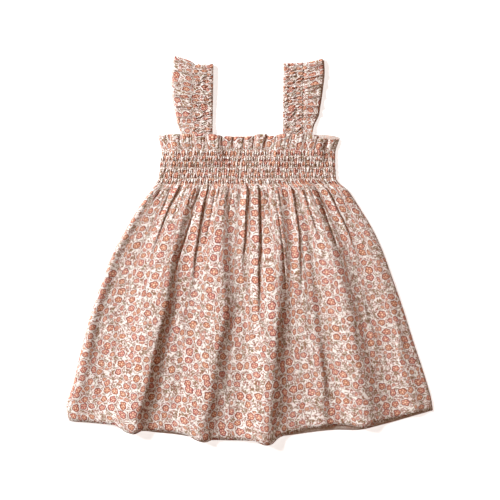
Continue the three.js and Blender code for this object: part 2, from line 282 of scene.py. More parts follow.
FOLDS = [
    Fold((-0.96, -0.975, -0.95), (1, 3.6, 3.4), 1.2, 14, 14),
    Fold((-0.74, -0.71, -0.7), (2.4, 1.2, 0), 0.36, 12, 5),
    Fold((-0.585, -0.555, -0.634), (1.6, 8.5, 11.5), 2, 58, 22),
    Fold((-0.44, -0.37, -0.37), (2.8, 1.8, 0), 0.5, 12, 5),
    Fold((-0.25, -0.16, -0.282), (1.2, 7, 9.5), 2, 44, 24),
    Fold((-0.03, -0.05, -0.05), (2.4, 1.6, 0), 0.36, 9, 5),
    Fold((0.09, 0.06, 0.3), (2, 4, 0), 0.68, 18, 5),
    Fold((0.29, 0.182, 0.07), (1.6, 8.5, 11.5), 2, 40, 28),
    Fold((0.43, 0.34, 0.3), (2.2, 2.4, 0), 0.62, 14, 5),
    Fold((0.52, 0.55, 0.5), (2.6, 1.6, 0), 0.3, 12, 5),
    Fold((0.6, 0.642, 0.622), (3.4, 7.4, 8.4), 2, 36, 32),
    Fold((0.78, 0.8, 0.8), (2.2, 1.4, 0), 0.34, 11, 5),
    Fold((0.46, 0.43, 0.4), (0, 2, 3.2), 2, 24, 11),
    Fold((0.95, 0.93, 0.9), (0.5, 2.4, 3), 2, 26, 16),
]

BULGES = [
    Bulge(-0.68, 6.5),
    Bulge(-0.288, 5.2),
    Bulge(0.078, 6.5),
    Bulge(0.418, 1),
    Bulge(0.618, 3),
]

# Creases across and between the folds, as uneven as cloth that was folded and shaken out
CREASES = [
    Crease(-196, -150, -178, -262, 0.9, 5),
    Crease(-214, -238, -203, -306, 0.8, 4),
    Crease(-150, -96, -136, -196, 0.7, 4),
    Crease(-92, -168, -70, -262, 0.8, 5),
    Crease(-40, -236, -22, -322, 0.7, 4),
    Crease(-8, -96, 2, -206, 0.8, 4),
    Crease(24, -206, 16, -306, 0.7, 5),
    Crease(70, -110, 84, -222, 0.9, 5),
    Crease(98, -196, 104, -306, 1.1, 5),
    Crease(128, -250, 138, -318, 0.7, 4),
    Crease(154, -140, 176, -236, 0.9, 5),
    Crease(196, -176, 218, -286, 0.8, 5),
    Crease(-118, -276, -70, -296, 0.5, 6),
    Crease(60, -288, 118, -270, 0.5, 6),
]

# Narrow tucks that run down from the shirring, where the cloth goes in. Their height is a depth.
TUCKS = [
    Crease(-105.3, -4, -121.9, -49.5, 1.4, 0.8),
    Crease(-88.8, -2.7, -106.9, -59.4, 1.4, 0.8),
    Crease(-75.3, -1.4, -84.5, -34.4, 1.6, 0.9),
    Crease(-73.8, -36, -102.3, -129, 2.0, 1.1),
    Crease(-58.8, -2.7, -61.8, -48, 1.5, 1.2),
    Crease(-44, -2.7, -61.8, -97, 1.8, 0.8),
    Crease(-21, -10.8, -27.8, -47, 1.6, 1.0),
    Crease(-2.4, -70, -7.5, -105, 1.5, 0.9),
    Crease(16.1, -20, 18.1, -123, 2.0, 0.9),
    Crease(35.7, -5, 51.3, -157, 2.0, 1.0),
    Crease(70.8, -65, 79.6, -134, 1.4, 0.8),
    Crease(74.8, -2.7, 80.6, -29.7, 1.7, 1.2),
    Crease(88.9, -2.7, 100.9, -29.7, 1.8, 1.0),
    Crease(99.1, -27, 120.7, -92, 2.0, 1.1),
    Crease(108.6, -12, 120.5, -29.7, 1.5, 0.9),
]

bodice_left = Curve.of(BODICE_EDGE, "at", "left")
bodice_right = Curve.of(BODICE_EDGE, "at", "right")
skirt_left = Curve.of(SKIRT_EDGE, "at", "left")
skirt_right = Curve.of(SKIRT_EDGE, "at", "right")
heading_front = Curve.of(HEADING_EDGE, "across", "front")
heading_back = Curve.of(HEADING_EDGE, "across", "back")
hem_front = Curve.of(HEM, "across", "front")
hem_back = Curve.of(HEM, "across", "back")


def bodice_x(across: Array, y: Array) -> Array:
    """Place across the bodice at a height above the waist."""
    return lerp(bodice_left(y), bodice_right(y), (across + 1) / 2)


def skirt_x(across: Array, share: Array) -> Array:
    """Place across the skirt at a share of its length."""
    return lerp(skirt_left(share), skirt_right(share), (across + 1) / 2)


def down_skirt(values: tuple[float, float, float], share: Array) -> Array:
    """A fold's column at a share of the skirt's length: straight lines by way of the middle."""
    waist, middle, hem = values
    return np.where(share < 0.5, lerp(waist, middle, share * 2), lerp(middle, hem, share * 2 - 1))


@dataclass(frozen=True)
class Place:
    """Where the waist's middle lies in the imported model, found from its left strap."""

    strap_neck: float = 47.6
    strap_top: float = 161.5

    def offset(self) -> Array:
        """Offset from the drawing's origin to the frame's, in mm."""
        high = np.array(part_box("strap_left")[1]) / MM
        return np.array([high[0] + self.strap_neck, high[1] - self.strap_top, 0.0])

    def frame_points(self, points: Array) -> Array:
        """Points of the drawing in mm, as metres in the frame."""
        return (points + self.offset()) * MM


PLACE = Place()


@dataclass(frozen=True)
class Finish:
    """A finish's name, and the Blender material that dresses it."""

    slot: str
    material: bpy.types.Material


@dataclass(frozen=True)
class Value:
    """A shader socket that Python's operators work on; each adds a Math node."""

    graph: "Graph"
    socket: bpy.types.NodeSocket

    def math(self, operation: str, *others: "Value | float") -> "Value":
        """One Math node on this value and others."""
        values = dict(enumerate((self, *others)))
        return self.graph.value("ShaderNodeMath", {"operation": operation}, values)

    def flipped(self, operation: str, other: float) -> "Value":
        """One Math node on another number and this value, in that order."""
        return self.graph.value("ShaderNodeMath", {"operation": operation}, {0: other, 1: self})

    def __add__(self, other: "Value | float") -> "Value":
        """Sum."""
        return self.math("ADD", other)

    def __sub__(self, other: "Value | float") -> "Value":
        """Difference."""
        return self.math("SUBTRACT", other)

    def __mul__(self, other: "Value | float") -> "Value":
        """Product."""
        return self.math("MULTIPLY", other)

    def __truediv__(self, other: "Value | float") -> "Value":
        """Quotient."""
        return self.math("DIVIDE", other)

    def __pow__(self, other: "Value | float") -> "Value":
        """Power."""
        return self.math("POWER", other)

    def __radd__(self, other: float) -> "Value":
        """Sum with the number first."""
        return self.flipped("ADD", other)

    def __rsub__(self, other: float) -> "Value":
        """Difference with the number first."""
        return self.flipped("SUBTRACT", other)

    def __rmul__(self, other: float) -> "Value":
        """Product with the number first."""
        return self.flipped("MULTIPLY", other)

    def __rtruediv__(self, other: float) -> "Value":
        """Quotient with the number first."""
        return self.flipped("DIVIDE", other)

    def __abs__(self) -> "Value":
        """Size without its sign."""
        return self.math("ABSOLUTE")

    def fraction(self) -> "Value":
        """What is left of it above a whole number."""
        return self.math("FRACT")

    def cosine(self) -> "Value":
        """Cosine of an angle."""
        return self.math("COSINE")

    def sine(self) -> "Value":
        """Sine of an angle."""
        return self.math("SINE")

    def least(self, other: "Value | float") -> "Value":
        """Lesser of two."""
        return self.math("MINIMUM", other)

    def most(self, other: "Value | float") -> "Value":
        """Greater of two."""
        return self.math("MAXIMUM", other)

    def rise(self, low: "Value | float", high: "Value | float") -> "Value":
        """Smooth rise from 0 at low to 1 at high, or a fall where high is less."""
        settings = {"interpolation_type": "SMOOTHSTEP"}
        return self.graph.value("ShaderNodeMapRange", settings, {"Value": self, 1: low, 2: high})


class Graph:
    """One material's nodes."""

    def __init__(self, name: str) -> None:
        """Makes an empty material.

        Args:
            name: the material's name.
        """
        self.material = bpy.data.materials.new(name)
        self.material.use_nodes = True
        self.tree = self.material.node_tree
        self.tree.nodes.clear()

    def node(self, kind: str, settings: dict | None = None, values: dict | None = None) -> bpy.types.Node:
        """Adds a node.

        Args:
            kind: Blender's type of node.
            settings: attributes to set on it first.
            values: number, colour, value or socket for each input, by name or index.

        Returns:
            The node.
        """
        node = self.tree.nodes.new(kind)
        for name, setting in (settings or {}).items():
            setattr(node, name, setting)
        for name, value in (values or {}).items():
            if isinstance(value, Value):
                self.tree.links.new(value.socket, node.inputs[name])
            elif isinstance(value, bpy.types.NodeSocket):
                self.tree.links.new(value, node.inputs[name])
            else:
                node.inputs[name].default_value = value
        return node

    def value(self, kind: str, settings: dict | None = None, values: dict | None = None) -> Value:
        """Adds a node and wraps its first output."""
        return Value(self, self.node(kind, settings, values).outputs[0])

    def mix(self, factor: Value | float, first: object, second: object) -> bpy.types.NodeSocket:
        """Mixes two colours.

        Args:
            factor: share of the second.
            first: colour or socket.
            second: colour or socket.

        Returns:
            The mixed colour's socket.
        """
        values = {0: factor, 6: first, 7: second}
        return self.node("ShaderNodeMix", {"data_type": "RGBA"}, values).outputs[2]

    def vector(self, operation: str, first: object, second: object) -> bpy.types.NodeSocket:
        """One Vector Math node on two vectors."""
        return self.node("ShaderNodeVectorMath", {"operation": operation}, {0: first, 1: second}).outputs[0]

    def parts(self, vector: bpy.types.NodeSocket) -> tuple[Value, Value]:
        """The first two parts of a vector."""
        node = self.node("ShaderNodeSeparateXYZ", None, {0: vector})
        return Value(self, node.outputs[0]), Value(self, node.outputs[1])

    def noise(self, place: bpy.types.NodeSocket, scale: float, detail: float = 2.0) -> Value:
        """Noise from 0 to 1 at a scale."""
        values = {"Vector": place, "Scale": scale, "Detail": detail}
        return self.value("ShaderNodeTexNoise", {"noise_dimensions": "2D"}, values)


Colour = tuple[float, float, float, float]
Triple = tuple[float, float, float]
Socket = bpy.types.NodeSocket


def srgb(red: int, green: int, blue: int) -> Colour:
    """Screen colour from 0 to 255 a channel, as linear light."""
    shares = [part / 255 for part in (red, green, blue)]
    linear = [c / 12.92 if c <= 0.04045 else ((c + 0.055) / 1.055) ** 2.4 for c in shares]
    return (linear[0], linear[1], linear[2], 1.0)


@dataclass(frozen=True)
class Scatter:
    """Motifs strewn over the cloth, one to a cell of a loose mesh.

    Attributes:
        near: distance from the nearest motif's middle, in mm.
        angle: direction from that middle, in radians, turned at random.
        chance: three random numbers of the motif, from 0 to 1.
    """

    near: Value
    angle: Value
    chance: tuple[Value, Value, Value]

    @classmethod
    def over(cls, graph: Graph, place: Socket, cell: float, shift: float, loose: float) -> "Scatter":
        """Strews motifs.

        Args:
            graph: the material.
            place: the cloth's place, in mm.
            cell: mean distance between motifs, in mm.
            shift: offset of this layer from the others, in mm.
            loose: how unevenly they lie, from 0 to 1.

        Returns:
            The scatter.
        """
        moved = graph.vector("ADD", place, (shift, shift * 0.37, 0.0))
        scaled = graph.vector("MULTIPLY", moved, (1 / cell, 1 / cell, 1.0))
        values = {"Vector": scaled, "Scale": 1.0, "Randomness": loose}
        cells = graph.node("ShaderNodeTexVoronoi", {"voronoi_dimensions": "2D"}, values)
        red, green = graph.parts(cells.outputs["Color"])
        blue = Value(graph, graph.node("ShaderNodeSeparateXYZ", None, {0: cells.outputs["Color"]}).outputs[2])
        x, y = graph.parts(graph.vector("SUBTRACT", scaled, cells.outputs["Position"]))
        angle = y.math("ARCTAN2", x) + green * (2 * math.pi)
        return cls(Value(graph, cells.outputs["Distance"]) * cell, angle, (red, green, blue))


class PrintLayer(NamedTuple):
    """One layer of motifs: how it is drawn, and its sizes in mm.

    The last column is the motifs' colour, or for flowers the share of the places that hold one.
    """

    draw: Callable[..., Socket]
    cell: float
    shift: float
    loose: float
    size: float
    last: Colour | float


@dataclass(frozen=True)
class FloralPrint:
    """Small flowers, buds and leaf sprays strewn close together on an ivory ground.

    The flowers and sprays are common motifs in a layout of this script's own.
    """

    name: str
    fade: float = 0.0
    ground: Colour = srgb(238, 233, 228)
    blush: Colour = srgb(237, 225, 222)
    coral: Colour = srgb(205, 134, 112)
    terracotta: Colour = srgb(204, 140, 106)
    rose: Colour = srgb(204, 132, 122)
    peach: Colour = srgb(236, 192, 170)
    outline: Colour = srgb(108, 48, 36)
    heart: Colour = srgb(240, 208, 178)
    olive: Colour = srgb(130, 104, 66)
    taupe: Colour = srgb(140, 84, 60)
    brick: Colour = srgb(166, 86, 66)
    inside: Colour = srgb(228, 216, 208)
    sway: float = 5.0
    sway_scale: float = 0.09
    leaf_pitch: float = 3.7
    stem_cell: float = 8.0

    def flowers(self, graph: Graph, cloth: Socket, field: Scatter, radius: float, kept: float) -> Socket:
        """Draws open flowers over the cloth so far.

        A petal's edge lies at the radius times a scalloped cosine of five lobes. Dark lines run
        between the petals and round them, and the heart is a pale spot in a dark ring.

        Args:
            graph: the material.
            cloth: colour below the flowers.
            field: where they lie.
            radius: a flower's radius, in mm.
            kept: share of the places that hold a flower.

        Returns:
            The colour with the flowers on it.
        """
        size, tone, keep = field.chance
        lobe = abs((field.angle * 2.5).cosine())
        reach = radius * (0.78 + size * 0.34) * (0.78 + (lobe ** 0.5) * 0.22)
        share = field.near / reach
        there = keep.rise(kept + 0.01, kept)
        warm = graph.mix(tone.rise(0.35, 0.42), self.coral, self.terracotta)
        petal = graph.mix(tone.rise(0.66, 0.72), warm, self.rose)
        light = (size * 7.0).fraction() * 0.5
        petal = graph.mix(share.rise(0.85, 0.35) * light, petal, self.peach)
        streak = lobe.rise(0.8, 0.96) * share.rise(0.34, 0.46) * share.rise(0.9, 0.74)
        petal = graph.mix(streak * 0.7, petal, self.peach)
        veins = lobe.rise(0.5, 0.12) * share.rise(0.28, 0.45)
        rim = share.rise(0.68, 0.8)
        petal = graph.mix(veins.most(rim) * 0.8, petal, self.outline)
        ring = share.rise(0.2, 0.27) * share.rise(0.44, 0.34)
        petal = graph.mix(ring * 0.66, petal, self.outline)
        petal = graph.mix(share.rise(0.27, 0.18), petal, self.heart)
        cleared = graph.mix(share.rise(1.3, 1.14) * there * 0.8, cloth, self.ground)
        return graph.mix(share.rise(1.04, 0.96) * there, cleared, petal)

    def fans(self, graph: Graph, cloth: Socket, field: Scatter, length: float, colour: Colour) -> Socket:
        """Draws fans of narrow petals over the cloth so far.

        A petal is where a cosine of seven lobes comes near its top, wider half way along.

        Args:
            graph: the material.
            cloth: colour below the fans.
            field: where they lie.
            length: a petal's length, in mm.
            colour: their colour.

        Returns:
            The colour with the fans on it.
        """
        along = field.near / length
        width = 0.12 + (along.least(1.0) * math.pi).sine() * 0.5
        petal = ((field.angle * 6.0).cosine() - 1 + width).rise(0.0, 0.2)
        within = along.rise(1.0, 0.88) * along.rise(0.1, 0.2)
        fan = field.angle.cosine().rise(-0.3, 0.1)
        return graph.mix(petal * within * fan * 0.9, cloth, colour)

    def sprigs(self, graph: Graph, cloth: Socket, field: Scatter, length: float, colour: Colour) -> Socket:
        """Draws bent sprigs of paired leaves over the cloth so far.

        A leaf is a slanting band across the sprig, as long as an oval round the sprig allows.

        Args:
            graph: the material.
            cloth: colour below the sprigs.
            field: where they lie.
            length: half a sprig's length, in mm.
            colour: their colour.

        Returns:
            The colour with the sprigs on it.
        """
        along = field.near * field.angle.cosine()
        beside = field.near * field.angle.sine() - along * along * (0.9 / length / length) + 0.4
        away = abs(beside)
        band = abs(((along - away * 0.8) * (math.pi / self.leaf_pitch)).sine()).rise(0.72, 0.9)
        oval = (1 - (along / length) ** 2.0).most(0.0) ** 0.5
        leaves = band * away.rise(0.2, 0.45) * (away - oval * 3.0).rise(0.2, -0.2)
        stem = away.rise(0.5, 0.25) * oval.rise(0.0, 0.3)
        return graph.mix(leaves.most(stem) * 0.9, cloth, colour)

    def dashes(self, graph: Graph, cloth: Socket, field: Scatter, length: float, colour: Colour) -> Socket:
        """Draws short single strokes over the cloth so far.

        Args:
            graph: the material.
            cloth: colour below the strokes.
            field: where they lie.
            length: half a stroke's length, in mm.
            colour: their colour.

        Returns:
            The colour with the strokes on it.
        """
        along = abs(field.near * field.angle.cosine())
        beside = abs(field.near * field.angle.sine())
        stroke = beside.rise(0.72, 0.36) * along.rise(length, length * 0.8)
        return graph.mix(stroke * 0.8, cloth, colour)

    def stems(self, graph: Graph, cloth: Socket, place: Socket) -> Socket:
        """Draws fine stems, along the borders of a loose mesh, broken up by noise."""
        scaled = graph.vector("MULTIPLY", place, (1 / self.stem_cell, 1 / self.stem_cell, 1.0))
        settings = {"voronoi_dimensions": "2D", "feature": "DISTANCE_TO_EDGE"}
        values = {"Vector": scaled, "Scale": 1.0, "Randomness": 1.0}
        edge = graph.value("ShaderNodeTexVoronoi", settings, values)
        broken = graph.noise(place, 0.13).rise(0.46, 0.54)
        return graph.mix(edge.rise(0.06, 0.03) * broken * 0.6, cloth, self.olive)

    def draw(self, graph: Graph, flat: Socket) -> Socket:
        """Draws the whole print.

        Args:
            graph: the material.
            flat: place on the cut cloth, in mm.

        Returns:
            The printed colour.
        """
        sway_x = graph.noise(flat, self.sway_scale)
        sway_y = graph.noise(graph.vector("ADD", flat, (71.0, 13.0, 0.0)), self.sway_scale)
        moves = {0: (sway_x - 0.5) * self.sway, 1: (sway_y - 0.5) * self.sway}
        sway = graph.node("ShaderNodeCombineXYZ", None, moves)
        place = graph.vector("ADD", flat, sway.outputs[0])
        cloth = graph.mix(graph.noise(flat, 0.06).rise(0.45, 0.65) * 0.6, self.ground, self.blush)
        cloth = self.stems(graph, cloth, place)
        layers = [
            PrintLayer(self.dashes, 5.0, 141.0, 0.9, 2.1, self.taupe),
            PrintLayer(self.dashes, 5.6, 163.0, 0.9, 2.2, self.olive),
            PrintLayer(self.sprigs, 10.8, 31.0, 0.8, 4.8, self.taupe),
            PrintLayer(self.fans, 10.2, 57.0, 0.8, 4.5, self.brick),
            PrintLayer(self.sprigs, 12.6, 91.0, 0.8, 5.4, self.olive),
            PrintLayer(self.fans, 9.2, 113.0, 0.85, 3.9, self.taupe),
            PrintLayer(self.flowers, 8.8, 83.0, 0.75, 3.0, 0.36),
            PrintLayer(self.flowers, 13.0, 5.0, 0.5, 5.2, 0.72),
        ]
        for layer in layers:
            field = Scatter.over(graph, place, layer.cell, layer.shift, layer.loose)
            cloth = layer.draw(graph, cloth, field, layer.size, layer.last)
        return cloth

    def build(self) -> bpy.types.Material:
        """Makes the material: the print, a fine weave in relief, and a soft matt surface.

        Returns:
            The material.
        """
        graph = Graph(self.name)
        cut = graph.node("ShaderNodeUVMap", {"uv_map": CUT_MAP}).outputs[0]
        flat = graph.vector("MULTIPLY", cut, (1 / MM, 1 / MM, 1.0))
        cloth = self.draw(graph, flat)
        if self.fade > 0:
            cloth = graph.mix(self.fade, cloth, self.inside)
        threads = {"Vector": flat, "Scale": 0.9, "Distortion": 0.6}
        warp = graph.value("ShaderNodeTexWave", {"bands_direction": "X"}, threads)
        weft = graph.value("ShaderNodeTexWave", {"bands_direction": "Y"}, threads)
        height = (warp + weft) * 0.5 + graph.noise(flat, 0.5, 4.0)
        relief = graph.node("ShaderNodeBump", None, {"Strength": 0.35, "Distance": 0.0002, "Height": height})
        shader = graph.node("ShaderNodeBsdfPrincipled", None, {
            "Base Color": cloth, "Roughness": 0.88, "Normal": relief.outputs[0], "Specular IOR Level": 0.25,
            "Sheen Weight": 0.15, "Sheen Roughness": 0.5})
        graph.node("ShaderNodeOutputMaterial", None, {"Surface": shader.outputs[0]})
        return graph.material


@dataclass(frozen=True)
class Thread:
    """Sewing thread: two plies twisted together, softly shiny."""

    name: str
    colour: Colour = srgb(232, 214, 198)
    # Painted shade for the grooves between the twisted plies, not a second thread colour
    painted_ply_shade: Colour = srgb(205, 182, 164)

    def build(self) -> bpy.types.Material:
        """Makes the material, with the plies as fine bands in the piece's own space; the darker side of each
        band is painted shade in the groove between the plies.

        Returns:
            The material.
        """
        graph = Graph(self.name)
        place = graph.node("ShaderNodeTexCoord").outputs["Object"]
        plies = {"Vector": place, "Scale": 900.0}
        twist = graph.value("ShaderNodeTexWave", {"bands_direction": "DIAGONAL"}, plies)
        shader = graph.node("ShaderNodeBsdfPrincipled", None, {
            # Each band runs from painted groove shade to the thread's own colour
            "Base Color": graph.mix(twist, self.painted_ply_shade, self.colour), "Roughness": 0.55, "Sheen Weight": 0.2})
        graph.node("ShaderNodeOutputMaterial", None, {"Surface": shader.outputs[0]})
        return graph.material


@dataclass(frozen=True)
class PaleFloor:
    """Plain pale studio floor with a glow of its own, so that shadows stay light."""

    name: str = "pale_floor"
    colour: Colour = (0.8, 0.8, 0.8, 1.0)
    glow: float = 0.88

    def build(self) -> bpy.types.Material:
        """Makes the material."""
        graph = Graph(self.name)
        shader = graph.node("ShaderNodeBsdfPrincipled", None, {
            "Base Color": self.colour, "Roughness": 0.9, "Specular IOR Level": 0.1,
            "Emission Color": self.colour, "Emission Strength": self.glow})
        graph.node("ShaderNodeOutputMaterial", None, {"Surface": shader.outputs[0]})
        return graph.material


def grid_faces(rows: int, columns: int, first: int = 0) -> Array:
    """Four-cornered faces of a grid of points.

    Args:
        rows: number of its rows of points, which run down where columns run right.
        columns: number of its columns of points.
        first: number of its first point.

    Returns:
        Four point numbers to a face, so that its outer side shows to a viewer above.
    """
    number = first + np.arange(rows * columns).reshape(rows, columns)
    corners = [number[:-1, :-1], number[1:, :-1], number[1:, 1:], number[:-1, 1:]]
    return np.stack(corners, axis=-1).reshape(-1, 4)


def joining_faces(upper: Array, lower: Array) -> Array:
    """Five-cornered faces between a row of points and one with half as many steps below it."""
    corners = [upper[:-2:2], lower[:-1], lower[1:], upper[2::2], upper[1::2]]
    return np.stack(corners, axis=-1)


def sheet_mesh(name: str, points: Array, cut: Array, faces: Sequence[Array]) -> bpy.types.Object:
    """Makes a smooth surface.

    Args:
        name: the piece's name.
        points: its points, one to a row, in mm.
        cut: each point's place on the cut cloth, in mm.
        faces: sets of faces, each an array of point numbers.

    Returns:
        The object, at the origin.
    """
    mesh = bpy.data.meshes.new(name)
    corners = [face for part in faces for face in part.tolist()]
    mesh.from_pydata(PLACE.frame_points(points).tolist(), [], corners)
    corner = np.empty(len(mesh.loops), dtype=np.int32)
    mesh.loops.foreach_get("vertex_index", corner)
    mesh.uv_layers.new(name=CUT_MAP).uv.foreach_set("vector", (cut[corner] * MM).ravel())
    mesh.polygons.foreach_set("use_smooth", np.ones(len(mesh.polygons), dtype=bool))
    mesh.update()
    piece = bpy.data.objects.new(name, mesh)
    bpy.context.collection.objects.link(piece)
    return piece


def grid_mesh(name: str, points: Array, cut: Array) -> bpy.types.Object:
    """Makes a smooth surface from one grid of points and their places on the cut cloth."""
    faces = grid_faces(points.shape[0], points.shape[1])
    return sheet_mesh(name, points.reshape(-1, 3), cut.reshape(-1, 2), [faces])


def dress_sheet(piece: bpy.types.Object, outer: Finish, inner: Finish, thickness: float, node: str) -> None:
    """Gives a surface its cloth's thickness and finishes, and its place in the frame.

    Args:
        piece: the surface.
        outer: finish of the right side.
        inner: finish of the wrong side.
        thickness: the cloth's thickness, in mm.
        node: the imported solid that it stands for.
    """
    piece.data.materials.append(outer.material)
    piece.data.materials.append(inner.material)
    solid = piece.modifiers.new("thickness", "SOLIDIFY")
    solid.thickness = thickness * MM
    solid.offset = -1.0
    solid.use_rim = True
    solid.material_offset = 1
    solid.material_offset_rim = 0
    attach(piece, "root")
    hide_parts(node)
    LOG.info("%s: %d points", piece.name, len(piece.data.vertices))


def stitch_mesh(name: str, starts: Array, ends: Array, radius: float, finish: Finish) -> bpy.types.Object:
    """Makes many short stitches as one mesh of spindles.

    Each stitch is a tube of five sides whose radius swells from a point by the root of a sine, and
    which bows up in its middle by its own radius.

    Args:
        name: the piece's name.
        starts: one end of each stitch, in mm.
        ends: the other.
        radius: the thread's radius, in mm.
        finish: its finish.

    Returns:
        The object.
    """
    rings, sides = 6, 5
    share = np.linspace(0, 1, rings)[None, :, None, None]
    turn = (np.arange(sides) * 2 * np.pi / sides)[None, None, :, None]
    run = (ends - starts)[:, None, None, :]
    along = run / np.linalg.norm(run, axis=-1, keepdims=True)
    side = np.cross(along, np.array([0.0, 0.0, 1.0]))
    side = side / np.linalg.norm(side, axis=-1, keepdims=True)
    up = np.cross(side, along)
    swell = radius * np.maximum(np.sin(np.pi * share), 0.04) ** 0.5
    middle = starts[:, None, None, :] + run * share + up * radius * np.sin(np.pi * share)
    points = middle + swell * (np.cos(turn) * side + np.sin(turn) * up)
    number = np.arange(points[..., 0].size).reshape(len(starts), rings, sides)
    nearer, further = number[:, :-1], number[:, 1:]
    corners = [nearer, np.roll(nearer, -1, axis=2), np.roll(further, -1, axis=2), further]
    walls = np.stack(corners, axis=-1).reshape(-1, 4)[:, ::-1].tolist()
    caps = number[:, 0].tolist() + number[:, -1][:, ::-1].tolist()
    mesh = bpy.data.meshes.new(name)
    mesh.from_pydata(PLACE.frame_points(points.reshape(-1, 3)).tolist(), [], walls + caps)
    mesh.polygons.foreach_set("use_smooth", np.ones(len(walls) + len(caps), dtype=bool))
    mesh.update()
    piece = bpy.data.objects.new(name, mesh)
    bpy.context.collection.objects.link(piece)
    piece.data.materials.append(finish.material)
    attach(piece, "root")
    LOG.info("%s: %d stitches", name, len(starts))
    return piece


def strap_lift(x: Array, y: Array, straps: Sequence["Strap"]) -> Array:
    """How far the front is lifted by the strap ends below it."""
    full = 2 * (STRAP_WALL + SEAM_GAP)
    down = smoothstep(y, LIFT_START, LIFT_FULL)
    lift = np.zeros(np.broadcast(x, y).shape)
    for strap in straps:
        inside = x * strap.side.value - strap.neck_foot
        width = strap.width + float(strap.ruffle_width(strap.foot)) + 4
        over = smoothstep(inside, -20, -7) * (1 - smoothstep(inside, width + 7, width + 20))
        lift = np.maximum(lift, full * over * down)
    return lift


@dataclass(frozen=True)
class Cut:
    """Place on the cut cloth of what shows.

    The cloth is wider than the dress, and its gathers hide the rest. Within each gather the print
    keeps its own scale, but for the creases, where the hidden cloth goes in.
    """

    width: float = CUT_WIDTH
    crease: float = 7.0

    def across(self, place: Array, cells: int, fullness: Array) -> Array:
        """Place across the cut cloth, in mm, where the gathers are of equal width.

        Args:
            place: place across the dress, from -1 to 1.
            cells: number of gathers.
            fullness: how many times wider the cloth is than the dress.

        Returns:
            The place from the cloth's left edge.
        """
        return self.gathered((place + 1) / 2 * cells, cells, fullness)

    def gathered(self, phase: Array, cells: int, fullness: Array | float) -> Array:
        """Place across the cut cloth, in mm, by gathers counted from the left.

        Args:
            phase: gathers from the left, a whole number at each crease.
            cells: number of gathers.
            fullness: how many times wider the cloth is than the dress.

        Returns:
            The place from the cloth's left edge.
        """
        cell = np.floor(phase)
        inside = (phase - cell) * 2 - 1
        hidden = np.sign(inside) * np.abs(inside) ** self.crease
        shown = (inside / fullness + hidden * (1 - 1 / fullness)) / 2 + 0.5
        return (cell + shown) / cells * self.width


